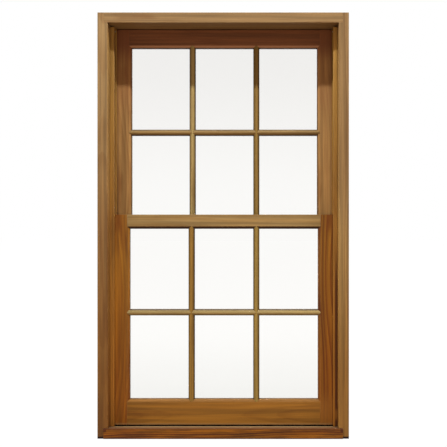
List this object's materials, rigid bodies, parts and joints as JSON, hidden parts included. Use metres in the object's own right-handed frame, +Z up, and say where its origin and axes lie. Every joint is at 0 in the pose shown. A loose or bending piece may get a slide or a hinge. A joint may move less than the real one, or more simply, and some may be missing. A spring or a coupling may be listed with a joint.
{
  "type": "double-hung sash window",
  "caption": "Wooden double-hung sash window in its own frame: two sliding sashes of small panes, moulded bars, staff and parting beads and a timber sill.",
  "frame": {"origin": "floor level, at the centre of the frame's width and of the sill's depth", "axes": "+Z up the window, +X to the right seen from the room, +Y from the room to the outside"},
  "size_m": [1, 0.212, 1.695],
  "materials": {
    "frame_wood": "stained and varnished softwood, satin",
    "sill_wood": "stained and varnished hardwood, darker than the frame",
    "upper_sash_wood": "stained and varnished softwood, satin",
    "lower_sash_wood": "stained and varnished softwood, deeper orange-brown, satin",
    "glazing_bead_wood": "stained softwood beads",
    "pane_glass": "clear float glass",
    "zinc_steel": "zinc plated",
    "balance_tube": "drawn tube, enamelled brown to suit stained timber",
    "spiral_rod": "bright twisted strip",
    "seal_rubber": "black sealing strip"
  },
  "bodies": {
    "root": {"left_jamb": "frame_wood", "right_jamb": "frame_wood", "head": "frame_wood", "sill": "sill_wood", "left_staff_bead": "frame_wood", "right_staff_bead": "frame_wood", "left_parting_bead": "frame_wood", "right_parting_bead": "frame_wood", "left_outer_bead": "frame_wood", "right_outer_bead": "frame_wood", "head_outer_bead": "frame_wood", "frame_screws": "zinc_steel", "upper_left_balance_tube": "balance_tube", "upper_right_balance_tube": "balance_tube", "lower_left_balance_tube": "balance_tube", "lower_right_balance_tube": "balance_tube", "balance_screws": "zinc_steel"},
    "upper_sash": {"upper_left_stile": "upper_sash_wood", "upper_right_stile": "upper_sash_wood", "upper_top_rail": "upper_sash_wood", "upper_meeting_rail": "upper_sash_wood", "upper_left_bar": "upper_sash_wood", "upper_right_bar": "upper_sash_wood", "upper_cross_bar": "upper_sash_wood", "upper_pane_1": "pane_glass", "upper_pane_2": "pane_glass", "upper_pane_3": "pane_glass", "upper_pane_4": "pane_glass", "upper_pane_5": "pane_glass", "upper_pane_6": "pane_glass", "upper_glazing_beads": "glazing_bead_wood", "upper_left_balance_rod": "spiral_rod", "upper_right_balance_rod": "spiral_rod", "upper_left_foot_bracket": "zinc_steel", "upper_right_foot_bracket": "zinc_steel", "upper_bracket_screws": "zinc_steel", "upper_sash_seal": "seal_rubber"},
    "lower_sash": {"lower_left_stile": "lower_sash_wood", "lower_right_stile": "lower_sash_wood", "lower_meeting_rail": "lower_sash_wood", "lower_bottom_rail": "lower_sash_wood", "lower_left_bar": "lower_sash_wood", "lower_right_bar": "lower_sash_wood", "lower_cross_bar": "lower_sash_wood", "lower_pane_1": "pane_glass", "lower_pane_2": "pane_glass", "lower_pane_3": "pane_glass", "lower_pane_4": "pane_glass", "lower_pane_5": "pane_glass", "lower_pane_6": "pane_glass", "lower_glazing_beads": "glazing_bead_wood", "lower_left_balance_rod": "spiral_rod", "lower_right_balance_rod": "spiral_rod", "lower_left_foot_bracket": "zinc_steel", "lower_right_foot_bracket": "zinc_steel", "lower_bracket_screws": "zinc_steel", "lower_sash_seal": "seal_rubber"}
  },
  "joints": [
    {"name": "lower_sash_slide", "type": "slide", "parent": "root", "child": "lower_sash", "axis": [0, 0, 1], "range_m": [0, 0.7]},
    {"name": "upper_sash_slide", "type": "slide", "parent": "root", "child": "upper_sash", "axis": [0, 0, -1], "range_m": [0, 0.7]}
  ]
}
